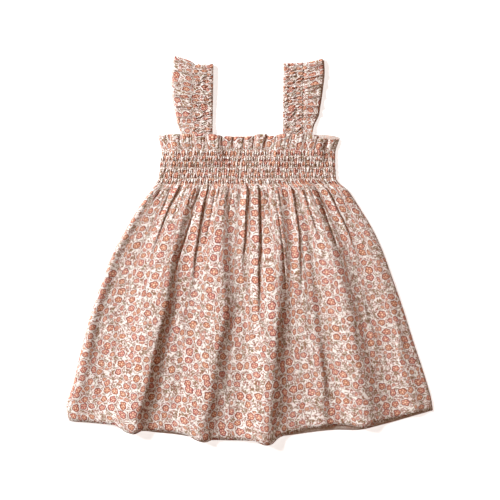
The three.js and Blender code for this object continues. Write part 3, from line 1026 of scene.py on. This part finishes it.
@dataclass(frozen=True)
class FrontPanel:
    """The front, cut in one piece from the frilled heading to the hem."""

    straps: tuple["Strap", ...]
    puff_columns: int = 78
    puff_steps: int = 7
    puff_height: float = 1.45
    puff_uneven: float = 0.34
    slit_depth: float = 0.6
    slit_kept: float = 0.15
    pinch_height: float = 0.1
    fullness: float = 2.2
    flutes: int = 15
    flute_height: float = 1.9
    gathers: int = 20
    gather_height: float = 1.7
    gather_end: float = 0.2
    flank_lean: float = 0.75
    bulge_reach: float = 19.0
    bulge_lean: float = 1.3
    crease_wander: float = 2.5
    tuck_wander: float = 0.6
    heading_rows: int = 13
    band_rows: int = 37
    skirt_rows: int = 73
    row_spread: float = 1.35
    hem_stitches: int = 158
    hem_length: float = 335.0
    lean: float = 0.35
    roll: float = 5.0
    cloth: float = 0.5
    cut: Cut = Cut()

    def puff_shift(self, across: Array, row: Array | float) -> Array:
        """How far one row's puffs lie to the left of equal steps, in puffs: rows are staggered."""
        return 0.5 * (row % 2) + 0.3 * uneven(row + 0.5) + 0.5 * drift(across * 15, row * 1.7)

    def puffs(self, across: Array, row: Array | float) -> Array:
        """Puffs along one row of them, each of its own size, up to about 1 high."""
        phase = (across + 1) / 2 * self.puff_columns + self.puff_shift(across, row)
        size = 1 + self.puff_uneven * uneven(np.floor(phase) * 7 + row * 131)
        return puff(phase, 0.4) * size

    def stitched(self, across: Array, row: float) -> Array:
        """Height of the cloth where a stitched row pinches it."""
        both = (self.puffs(across, row - 1) + self.puffs(across, row)) / 2
        depth = self.slit_depth * self.slit_kept
        return both * (self.pinch_height + depth) - depth

    def edge_roll(self, x: Array, left: Array, right: Array) -> Array:
        """Drop of the cloth where it rolls round the side seams: a quarter circle."""
        inside = np.minimum(np.minimum(x - left, right - x) / self.roll, 1.0)
        return (FRONT_WALL + SEAM_GAP) * (1 - np.sqrt(np.maximum(1 - (1 - inside) ** 2, 0.0)))

    def heading(self, across: Array, up: Array) -> Array:
        """The frill above the shirring, in leaning flutes that grow out of the fine gathers.

        Args:
            across: place across, from -1 to 1.
            up: 0 at the top shirring row and 1 at the free edge.

        Returns:
            The points.
        """
        y = SHIRRING_TOP + up * heading_front(across)
        x = bodice_x(across, y)
        phase = np.pi * self.flutes * across + 1.6 * np.sin(across * 7)
        flute = 0.5 + 0.5 * np.cos(phase)
        turned = ridge(across - 0.135, 0.075)
        height = self.flute_height * (flute * (1 + 0.35 * drift(across * 5, 2)) + 1.1 * turned) * np.sqrt(up)
        fine = self.stitched(across, 0) * (1 + 4.0 * ridge(up - 0.2, 0.2)) * (1 - smoothstep(up, 0.25, 0.85))
        shallow = 0.6 * puff((across + 1) * 27 + 0.3 * drift(across * 8, 5), 0.8) * smoothstep(up, 0.1, 0.4)
        z = FRONT_REST + FRONT_WALL + strap_lift(x, y, self.straps) + height + shallow
        z = z + fine
        z = z - self.edge_roll(x, bodice_left(y), bodice_right(y))
        lean = 1.9 * np.sin(phase) * up + 4.2 * turned * up
        rim = -0.9 * smoothstep(up, 0.93, 1.0)
        return np.stack(np.broadcast_arrays(x + lean * (1 - np.abs(across) ** 8), y, z + rim), axis=-1)

    def shirring(self, across: Array, down: Array) -> Array:
        """The shirred band: puffs between stitched rows, none quite like the next.

        Args:
            across: place across, from -1 to 1.
            down: shirring rows counted from the top one.

        Returns:
            The points.
        """
        y = SHIRRING_TOP - down * SHIRRING_PITCH + 0 * across
        x = bodice_x(across, y)
        row = np.floor(down + 0.5)
        blend = smoothstep(down + 0.5 - row, 0.3, 0.7)
        pinched = puff(down, 0.8)
        puffs = lerp(self.puffs(across, row - 1), self.puffs(across, row), blend)
        depth = self.slit_depth * lerp(self.slit_kept, 1.0, pinched)
        z = puffs * (self.pinch_height + depth + self.puff_height * pinched) - depth
        z = z + FRONT_REST + FRONT_WALL + strap_lift(x, y, self.straps)
        z = z - self.edge_roll(x, bodice_left(y), bodice_right(y))
        sway = 0.5 * drift(across * 60, row) * pinched
        return np.stack(np.broadcast_arrays(x + sway, y, z), axis=-1)

    def fold_height(self, across: Array, share: Array) -> Array:
        """Height of the skirt's folds: ridges along each crest's path, steeper on the right."""
        x = skirt_x(across, share)
        height = np.zeros(x.shape)
        narrow = lerp(0.45, 1.0, np.minimum(share * 2.2, 1.0))
        broad = narrow + 0.4 * smoothstep(share, 0.5, 1.0)
        for fold in FOLDS:
            distance = x - skirt_x(down_skirt(fold.crest, share), share)
            lit = ridge(distance, fold.left * narrow)
            shape = np.where(distance < 0, lit, ridge(distance, fold.right * broad, self.flank_lean))
            kept = 1 - smoothstep(share, fold.fade * 0.55, fold.fade)
            height += down_skirt(fold.height, share) * kept * shape
        return height

    def gather_relief(self, across: Array, share: Array) -> Array:
        """Height of the gathers that run down from the shirring, in three sizes that die away."""
        number = np.arange(self.gathers)
        crest = -1 + 2 * (number + 0.5 + 0.25 * uneven(number)) / self.gathers
        valley = np.concatenate([[-1.0], (crest[1:] + crest[:-1]) / 2, [1.0]])
        cell = np.clip(np.searchsorted(valley, across) - 1, 0, self.gathers - 1)
        phase = (across - valley[cell]) / (valley[cell + 1] - valley[cell])
        end = self.gather_end * (0.75 + 0.35 * uneven(cell + 50))
        tall = self.gather_height * (1.1 + 0.4 * uneven(cell + 90))
        kept = 1 - smoothstep(share, end * 0.2, end)
        height = kept * (tall * puff(phase, 0.25) - self.slit_depth)
        length = 0.12 * (1 + 0.5 * drift(across * 21, 1))
        half = (across + 1) * self.gathers + 0.3 * drift(across * 11, 4)
        height += 1.3 * puff(half, 0.5) * (1 - smoothstep(share / length, 0.1, 1.0))
        start = 1 - smoothstep(share, 0.0, 0.035)
        fine = self.stitched(across, SHIRRING_ROWS - 1)
        return lerp(height, fine, start) + self.puffs(across, SHIRRING_ROWS - 1) * ridge(share - 0.012, 0.02)

    def beside_line(self, x: Array, y: Array, line: Crease, wander: float) -> tuple[Array, Array]:
        """Place along a crease, as a share of its length, and the distance from it to the left, in mm.

        Args:
            x: place across the dress, in mm.
            y: height above the waist, in mm.
            line: the crease.
            wander: how far its line strays from a straight one, in mm.

        Returns:
            The share and the distance.
        """
        run = np.array([line.x1 - line.x0, line.y1 - line.y0])
        length = float(np.hypot(*run))
        along = ((x - line.x0) * run[0] + (y - line.y0) * run[1]) / length
        beside = ((x - line.x0) * run[1] - (y - line.y0) * run[0]) / length
        return along / length, beside + wander * np.sin(along / 23 + line.x0)

    def crease_relief(self, x: Array, y: Array) -> Array:
        """Height of the listed creases, steeper on the right, and of the narrow tucks."""
        height = np.zeros(x.shape)
        for crease in CREASES:
            along, beside = self.beside_line(x, y, crease, self.crease_wander)
            kept = smoothstep(along, -0.08, 0.3) * (1 - smoothstep(along, 0.6, 1.08))
            shape = np.exp(-((beside / crease.width) ** 2)) * (1 + 1.2 * np.tanh(beside / crease.width))
            height += crease.height * kept * shape
        for tuck in TUCKS:
            along, beside = self.beside_line(x, y, tuck, self.tuck_wander)
            kept = smoothstep(along, -0.05, 0.12) * (1 - smoothstep(along, 0.65, 1.05))
            height -= tuck.height * kept * np.exp(-((beside / tuck.width) ** 2))
        return height

    def skirt(self, across: Array, share: Array) -> Array:
        """The skirt, with its folds, gathers, creases and turned-up hem.

        Args:
            across: place across, from -1 to 1.
            share: 0 at the waist and 1 at the hem.

        Returns:
            The points.
        """
        drop = np.zeros(across.shape)
        for bulge in BULGES:
            distance = skirt_x(across, 1.0) - skirt_x(np.array(bulge.across), 1.0)
            drop = drop + bulge.drop * ridge(distance, self.bulge_reach, self.bulge_lean)
        length = hem_front(across) + drop * smoothstep(share, 0.6, 1)
        x = skirt_x(across, share)
        y = -share * length
        folds = self.fold_height(across, share)
        height = folds + self.gather_relief(across, share) + self.crease_relief(x, y)
        height = height + 0.5 * drift(x / 13, 1) * drift(y / 31, 2) * smoothstep(share, 0.15, 0.5)
        to_hem = (1 - share) * length
        hem = 0.35 * (1 - smoothstep(to_hem, 13.0, 14.5)) - 0.3 * ridge(to_hem - HEM_ROW, 1.2)
        hem = hem - 1.0 * (1 - smoothstep(to_hem, 0.0, 1.6))
        z = FRONT_REST + FRONT_WALL + height + hem
        z = z - self.edge_roll(x, skirt_left(share), skirt_right(share))
        inside = 1 - np.abs(across) ** 10
        return np.stack(np.broadcast_arrays(x + self.lean * folds * inside, y, z), axis=-1)

    def rows(self) -> tuple[Array, Array, Array]:
        """Rows of the grid: heading, shirred band and skirt, each as a column of numbers."""
        heading = np.linspace(1, 0, self.heading_rows)[:-1, None]
        band = np.linspace(0, SHIRRING_ROWS - 1, self.band_rows)[:, None]
        skirt = np.linspace(0, 1, self.skirt_rows)[1:, None] ** self.row_spread
        return heading, band, skirt

    def shirred_cut(self, across: Array, down: Array | float) -> Array:
        """Place across the cut cloth in the shirred band; the hidden cloth goes into each row's slits.

        Args:
            across: place across, from -1 to 1.
            down: shirring rows counted from the top one.

        Returns:
            The place from the cloth's left edge, in mm.
        """
        row = np.floor(down + 0.5)
        places = []
        for number in (row - 1, row):
            shift = self.puff_shift(across, number)
            phase = (across + 1) / 2 * self.puff_columns + shift
            shown = self.cut.gathered(phase, self.puff_columns, self.fullness)
            places.append(shown - shift / self.puff_columns * self.cut.width)
        return lerp(places[0], places[1], smoothstep(down + 0.5 - row, 0.3, 0.7))

    def bodice_cut(self, across: Array, heading: Array, band: Array) -> Array:
        """Cut places of the heading's and the shirred band's points, in mm."""
        frilled = self.cut.across(across, self.flutes, self.fullness)
        frill_u = lerp(self.shirred_cut(across, 0.0), frilled, smoothstep(heading, 0.0, 0.35))
        frill = np.stack([frill_u, SHIRRING_TOP + heading * heading_front(across)], axis=-1)
        shirred = self.shirred_cut(across, band)
        puffed = np.stack(np.broadcast_arrays(shirred, SHIRRING_TOP - band * SHIRRING_PITCH), axis=-1)
        return np.concatenate([frill, puffed])

    def skirt_cut(self, across: Array, share: Array) -> Array:
        """Cut places of the skirt's points, in mm."""
        shirred = self.shirred_cut(across, SHIRRING_ROWS - 1)
        opened = np.maximum(self.cut.width / (skirt_right(share) - skirt_left(share)), 1.0)
        gathered = self.cut.across(across, self.gathers, opened)
        u = lerp(shirred, gathered, smoothstep(share, 0.0, 0.04))
        return np.stack(np.broadcast_arrays(u, -share * CUT_SKIRT), axis=-1)

    def build(self, outer: Finish, inner: Finish) -> bpy.types.Object:
        """Makes the front's cloth: a fine grid down to the waist and one half as fine below.

        Args:
            outer: finish of the right side.
            inner: finish of the wrong side.

        Returns:
            The piece.
        """
        steps = self.puff_columns * self.puff_steps
        fine = np.linspace(-1, 1, steps + 1)[None, :]
        wide = fine[:, ::2]
        heading, band, share = self.rows()
        bodice = np.concatenate([self.heading(fine, heading), self.shirring(fine, band)])
        skirt = self.skirt(wide, share)
        first = bodice[..., 0].size
        waist = first - steps - 1 + np.arange(steps + 1)
        faces = [
            grid_faces(*bodice.shape[:2]),
            joining_faces(waist, first + np.arange(steps // 2 + 1)),
            grid_faces(*skirt.shape[:2], first=first),
        ]
        points = np.concatenate([bodice.reshape(-1, 3), skirt.reshape(-1, 3)])
        upper_cut = self.bodice_cut(fine, heading, band)
        cut = np.concatenate([upper_cut.reshape(-1, 2), self.skirt_cut(wide, share).reshape(-1, 2)])
        piece = sheet_mesh("front_cloth", points, cut, faces)
        dress_sheet(piece, outer, inner, self.cloth, "front")
        return piece

    def sew(self, thread: Finish) -> None:
        """Sews the shirring rows' stitches, one in each valley, and the hem's row."""
        column = np.arange(1, self.puff_columns)
        rows = np.arange(SHIRRING_ROWS)[:, None]
        across = (column + 0.5) / self.puff_columns * 2 - 1
        half = 0.36 * 2 / self.puff_columns
        sides = []
        for sign in (-1, 1):
            points = self.shirring(across[None, :] + sign * half, rows * 1.0).reshape(-1, 3)
            sides.append(points + np.array([0, 0, 0.12]))
        stitch_mesh("front_shirring_thread", sides[0], sides[1], THREAD_RADIUS, thread)
        across = np.linspace(-0.985, 0.985, self.hem_stitches)[None, :]
        share = np.full((1, 1), 1 - HEM_ROW / self.hem_length)
        sides = []
        for sign in (-1, 1):
            points = self.skirt(across + sign * 0.0045, share).reshape(-1, 3)
            sides.append(points + np.array([0, 0, 0.1]))
        stitch_mesh("front_hem_thread", sides[0], sides[1], THREAD_RADIUS, thread)


@dataclass(frozen=True)
class BackPanel:
    """The back, cut like the front. Its right side lies on the table, so its puffs are pressed flat."""

    columns: int = 312
    puff_columns: int = 78
    gathers: int = 20
    fullness: float = 2.2
    heading_rows: int = 7
    band_rows: int = 25
    skirt_rows: int = 41
    row_spread: float = 1.2
    cloth: float = 0.5
    inset: float = 0.997
    cut: Cut = Cut()

    def height(self, across: Array, y: Array, share: Array) -> Array:
        """Height of the cloth's upper face: creases rise between the puffs that touch the table."""
        phase = (across + 1) / 2 * self.puff_columns + 0.2 * drift(across * 9, 3)
        band = smoothstep(y, -6, 0) * (1 - smoothstep(y, SHIRRING_TOP, SHIRRING_TOP + 5))
        rows = puff(y / SHIRRING_PITCH, 0.7)
        creased = (1 - puff(phase, 0.5)) * (0.4 + 0.6 * (1 - rows)) * band
        gather = 1 - puff((across + 1) * self.gathers / 2 + 0.3 * drift(across * 7, 5), 0.4)
        gather = gather * (1 - smoothstep(share, 0.02, 0.35)) * smoothstep(-y, 0, 8)
        return self.cloth + 0.02 + 0.5 * np.maximum(creased, gather * 0.9)

    def build(self, outer: Finish, inner: Finish) -> bpy.types.Object:
        """Makes the back's cloth.

        Args:
            outer: finish of the right side, which lies down.
            inner: finish of the wrong side, which lies up.

        Returns:
            The piece.
        """
        across = np.linspace(-1, 1, self.columns + 1)[None, :]
        heading = SHIRRING_TOP + np.linspace(1, 0, self.heading_rows)[:-1, None] * heading_back(across)
        band = np.linspace(SHIRRING_TOP, 0, self.band_rows)[:, None] + 0 * across
        share = np.linspace(0, 1, self.skirt_rows)[1:, None] ** self.row_spread
        skirt = -share * hem_back(across)
        y = np.concatenate([heading, band, skirt])
        shares = np.concatenate([np.zeros((len(heading) + len(band), 1)), share])
        x = np.where(y > 0, bodice_x(across * self.inset, y), skirt_x(across * self.inset, shares))
        z = self.height(across, y, shares)
        opened = self.cut.width / (skirt_right(shares) - skirt_left(shares))
        fullness = np.where(shares > 0, opened, self.fullness)
        shirred = self.cut.across(across, self.puff_columns, fullness + 0 * across)
        gathered = self.cut.across(across, self.gathers, np.maximum(fullness, 1) + 0 * across)
        u = lerp(shirred, gathered, smoothstep(shares, 0, 0.04))
        v = np.where(y > 0, y, -shares * CUT_SKIRT)
        points = np.stack(np.broadcast_arrays(x, y, z), axis=-1)[::-1]
        piece = grid_mesh("back_cloth", points, np.stack([CUT_WIDTH - u, v], axis=-1)[::-1])
        dress_sheet(piece, outer, inner, self.cloth, "back")
        return piece


@dataclass(frozen=True)
class Strap:
    """A shirred shoulder strap folded over at the top, with a ruffle along its outer edge.

    The sheets state only stated_share of the cut that the two fullness values give.
    """

    side: Side
    neck_top: float
    neck_foot: float
    top: float
    flare: float
    curl: float
    ruffle_edge: tuple[EdgeRow, ...]
    width: float = 26.5
    foot: float = SHIRRING_TOP + 2
    gathers: int = 33
    channels: int = 3
    puff_height: float = 2.2
    fold_gap: float = 2.6
    tuck_ramp: float = 18.0
    waves: int = 9
    wave_height: float = 2.5
    scallop: float = 0.05
    tucked: float = 2.0
    sunk: float = 0.2
    fullness: float = 2.0
    ruffle_fullness: float = 1.7
    ruffle_cut: float = 26.0
    stated_share: float = 0.72
    fold_rows: int = 12
    back_steps: int = 60
    row_steps: int = 6
    cloth: float = 0.45

    @property
    def name(self) -> str:
        """The strap's side in lower case."""
        return self.side.name.lower()

    def ruffle_width(self, y: Array | float) -> Array:
        """The ruffle's width at a height above the waist."""
        return Curve.of(self.ruffle_edge, "at", self.name)(y)

    def neck(self, y: Array) -> Array:
        """Distance of the strap's neck edge from the middle."""
        return lerp(self.neck_foot, self.neck_top, smoothstep(y, self.foot, self.top))

    def path(self, front_steps: int, back_steps: int) -> tuple[Array, Array, Array, Array]:
        """Side view of the strap, up the front, over the fold and down the back.

        Args:
            front_steps: steps up the front.
            back_steps: steps down the back.

        Returns:
            Height above the waist, height off the table, layer and outward tilt of each row.
        """
        radius = STRAP_WALL + self.fold_gap / 2
        turn = self.top - radius
        front = np.linspace(self.foot, turn, front_steps + 1)
        bend = np.radians(np.linspace(90, -90, self.fold_rows + 2)[1:-1])
        back = np.linspace(turn, self.foot, back_steps + 1)
        low = (BACK_TOP + SEAM_GAP) * (1 - smoothstep(front, HEADING_TOP + 1, HEADING_TOP + self.tuck_ramp))
        gap = lerp(SEAM_GAP, self.fold_gap, smoothstep(front, HEADING_TOP + 4, self.top - 4))
        rest = (BACK_TOP + SEAM_GAP) * (1 - smoothstep(back, HEADING_TOP + 1, HEADING_TOP + self.tuck_ramp))
        y = np.concatenate([front, turn + radius * np.cos(bend), back])
        z = np.concatenate([low + 2 * STRAP_WALL + gap, radius + radius * np.sin(bend), rest])
        layers = [Layer.FRONT.value, Layer.FOLD.value, Layer.BACK.value]
        layer = np.repeat(layers, [len(front), len(bend), len(back)])
        tilt = np.concatenate([np.ones(len(front)), np.sin(bend), -np.ones(len(back))])
        return y[:, None], z[:, None], layer[:, None], tilt[:, None]

    def strip(self) -> tuple[Array, Array]:
        """The strap's points and cut places: puffs between lengthwise rows of elastic."""
        y, z, layer, _ = self.path(self.gathers * self.row_steps, self.back_steps)
        share = np.linspace(0, 1, 25)[None, :]
        share = share if self.side is Side.RIGHT else share[:, ::-1]
        x = self.side.value * (self.neck(y) + share * self.width)
        along = (y - self.foot) / (self.top - self.foot) * self.gathers
        wander = 0.85 * drift(share * 6 + y * 0.12, 1.3 * self.side.value)
        open_air = smoothstep(y, HEADING_TOP - 2, HEADING_TOP + 4)
        shown = np.where(layer == Layer.BACK.value, 0.0, open_air)
        between = np.maximum(puff(share * self.channels, 0.6), smoothstep(share, 0.88, 0.97))
        channel = lerp(0.68, 1.0, between)
        lane = np.minimum(np.floor(share * self.channels), self.channels - 1)
        phase = along + wander + 0.3 * lane
        size = 1 + 0.4 * uneven(np.floor(phase) * 5 + lane * 31)
        height = self.puff_height * (puff(phase, 0.7) * channel * size - 0.3) * shown
        edge = 1 - (1 - share) ** 28
        bend = np.where(layer == Layer.FOLD.value, 1.0, 0.0)
        rise = height * (1 - bend)
        pushed = y + bend * height * 0.8
        points = np.stack(np.broadcast_arrays(x, pushed, z + rise * edge - 0.1 * (1 - edge) * shown), axis=-1)
        length = np.cumsum(np.abs(np.diff(y[:, 0], prepend=y[0, 0]))) * self.fullness
        cell = length[:, None] * self.print_scale() + 0 * share
        cut = np.stack(np.broadcast_arrays(share * self.width + 40.0, cell), axis=-1)
        return points, cut

    def print_scale(self) -> float:
        """Scale along the strap's cut, a little unlike on the two sides so that the prints differ."""
        return 1.0 if self.side is Side.LEFT else 1.03

    def frill(self) -> tuple[Array, Array]:
        """The ruffle's points and cut places: waves that grow towards the free edge."""
        y, z, layer, tilt = self.path(self.waves * 20, self.back_steps)
        out = np.linspace(0, 1, 15)[None, :]
        out = out if self.side is Side.RIGHT else out[:, ::-1]
        climb = smoothstep(y, self.foot + 45, self.top)
        lifted = y + self.flare * climb * out ** self.curl
        behind = np.where(layer == Layer.BACK.value, 1.0, 0.0)
        free = smoothstep(y, HEADING_TOP + 3, HEADING_TOP + 26) * (1 - behind)
        count = (y - self.foot) / (self.top - self.foot) * self.waves
        phase = 2 * np.pi * (count + 0.16 * drift(count * 0.9, 2.0 * self.side.value))
        wave = 0.5 - 0.5 * np.cos(phase)
        seam = self.neck(y) + self.width - self.tucked
        reach = (self.ruffle_width(y) + SEAM_GAP) * (1 - self.scallop * wave * free) + self.tucked
        reach = reach + 1.5 * behind * smoothstep(y, HEADING_TOP, HEADING_TOP + 20)
        x = self.side.value * (seam + out * reach)
        fine = 1.5 * puff(count * 3.7 + 0.5 * drift(count + out, 3), 0.7)
        fine = fine * (1 - out) ** 0.4 * smoothstep(out, 0, 0.3)
        sunk = self.sunk * (1 - smoothstep(out, 0.0, 0.12))
        tall = self.wave_height * (1.1 + 0.5 * drift(count * 0.8, 3.1 * self.side.value))
        height = tall * wave * out ** 0.8 + fine - sunk
        upright = np.maximum(tilt, 0.0)
        lean = 2.4 * np.sin(phase) * out * free * upright
        points = np.stack(np.broadcast_arrays(x, lifted + lean, z + height * free * upright), axis=-1)
        length = np.cumsum(np.abs(np.diff(y[:, 0], prepend=y[0, 0]))) * self.ruffle_fullness
        u = out * self.ruffle_cut + 90.0 + 37 * self.side.value
        cut = np.stack(np.broadcast_arrays(u, length[:, None]), axis=-1)
        return points, cut

    def build(self, strap: Finish, ruffle: Finish, inner: Finish) -> list[bpy.types.Object]:
        """Makes the strap and its ruffle.

        Args:
            strap: finish of the strap.
            ruffle: finish of the ruffle.
            inner: finish of their wrong side.

        Returns:
            The pieces.
        """
        pieces = []
        jobs = [
            ("strap", self.strip(), strap, self.width, self.fullness),
            ("strap_ruffle", self.frill(), ruffle, self.ruffle_cut, self.ruffle_fullness),
        ]
        for kind, (points, cut), finish, wide, fullness in jobs:
            piece = grid_mesh(f"{kind}_{self.name}_cloth", points[::-1], cut[::-1])
            dress_sheet(piece, finish, inner, self.cloth, f"{kind}_{self.name}")
            run = 2 * (self.top - self.foot) * fullness
            flat = (wide * MM, run * self.stated_share * MM)
            pieces.append(piece)
        return pieces

    def sew(self, thread: Finish) -> None:
        """Sews the lengthwise rows of stitches on the strap's front layer."""
        points, _ = self.strip()
        step = self.row_steps
        shown = slice(step, self.gathers * step - step, step)
        columns = [0, 8, 16, 24]
        offset = np.array([0, 0, 0.15])
        low = points[shown][:, columns].reshape(-1, 3) + offset
        half = step // 2
        high = points[shown.start + half : shown.stop + half : step][:, columns].reshape(-1, 3) + offset
        stitch_mesh(f"strap_{self.name}_thread", low, high, THREAD_RADIUS, thread)


RUFFLE_EDGE = (
    EdgeRow(40, 12, 9.5),
    EdgeRow(70, 16.5, 14),
    EdgeRow(81, 20, 15.5),
    EdgeRow(92, 22, 20.5),
    EdgeRow(104, 25, 22.6),
    EdgeRow(124, 28.6, 25.6),
    EdgeRow(145, 28, 27.8),
    EdgeRow(165, 24.8, 26.6),
)

STRAPS = (
    Strap(Side.LEFT, 47.6, 48.8, 161.5, 12.0, 0.6, RUFFLE_EDGE),
    Strap(Side.RIGHT, 47.0, 45.6, 163.5, 6.5, 1.1, RUFFLE_EDGE),
)


@dataclass(frozen=True)
class Studio:
    """Pale floor, soft light from the left and a camera straight above."""

    scale: float = 1.35
    image: int = 500
    lens: float = 85.0
    sensor: float = 36.0
    centre_x: float = 0.675
    centre_y: float = 0.0
    cloth_height: float = 0.004
    floor_half: float = 15.0
    floor_drop: float = 0.0004
    surround: Colour = (1.0, 0.56, 0.36, 1.0)
    surround_strength: float = 0.15

    def floor(self) -> None:
        """Lays the floor just below the cloth."""
        half, low = self.floor_half, -self.floor_drop
        corners = [(-half, -half, low), (half, -half, low), (half, half, low), (-half, half, low)]
        mesh = bpy.data.meshes.new("floor")
        mesh.from_pydata(corners, [], [(0, 1, 2, 3)])
        mesh.materials.append(PaleFloor().build())
        floor = bpy.data.objects.new("floor", mesh)
        bpy.context.collection.objects.link(floor)

    def lamp(self, name: str, place: Triple, size: float, power: float, tint: Triple) -> None:
        """Hangs a square soft light that faces the dress.

        Args:
            name: its name.
            place: where it hangs, in metres.
            size: length of its sides, in metres.
            power: in watts.
            tint: its colour.
        """
        light = bpy.data.lights.new(name, "AREA")
        light.color = tint
        light.size = size
        light.energy = power
        lamp = bpy.data.objects.new(name, light)
        lamp.location = place
        far = math.hypot(place[0], place[1])
        lamp.rotation_euler = (0.0, math.atan2(far, place[2]), math.atan2(place[1], place[0]))
        bpy.context.collection.objects.link(lamp)

    def camera(self) -> None:
        """Places the camera so that one picture pixel is one scale length of the dress."""
        view = bpy.data.cameras.new("camera")
        view.lens = self.lens
        view.sensor_width = self.sensor
        width = self.scale * self.image * MM
        camera = bpy.data.objects.new("camera", view)
        height = width * self.lens / self.sensor + self.cloth_height
        camera.location = (self.centre_x * MM, self.centre_y * MM, height)
        bpy.context.collection.objects.link(camera)
        bpy.context.scene.camera = camera

    def build(self) -> None:
        """Sets up floor, lights, surroundings and camera."""
        self.floor()
        self.lamp("key_light", place=(-2.85, 1.4, 1.85), size=1.0, power=246.0, tint=(0.98, 1.0, 1.02))
        self.lamp("top_light", place=(0.5, -0.3, 2.4), size=1.8, power=7.0, tint=(1.0, 0.6, 0.38))
        world = bpy.data.worlds.new("surroundings")
        world.use_nodes = True
        background = world.node_tree.nodes["Background"]
        background.inputs[0].default_value = self.surround
        background.inputs[1].default_value = self.surround_strength
        bpy.context.scene.world = world
        bpy.context.scene.view_settings.view_transform = "Standard"
        self.camera()


def main() -> None:
    """Builds the dress piece by piece, then the studio."""
    logging.basicConfig(level=logging.INFO, format="%(name)s %(message)s")
    printed = FloralPrint("printed_cotton").build()
    wrong = FloralPrint("printed_cotton_inside", fade=0.62).build()
    thread = Finish("sewing_thread", Thread("sewing_thread").build())
    front = Finish("printed_cotton_front", printed)
    back = Finish("printed_cotton_back", printed)
    straps = Finish("printed_cotton_straps", printed)
    ruffles = Finish("printed_cotton_ruffles", printed)
    inside = Finish("printed_cotton_back", wrong)
    BackPanel().build(back, inside)
    for strap in STRAPS:
        strap.build(straps, ruffles, inside)
        strap.sew(thread)
    panel = FrontPanel(STRAPS)
    panel.build(front, inside)
    panel.sew(thread)
    Studio().build()


if __name__ == "__main__":
    main()
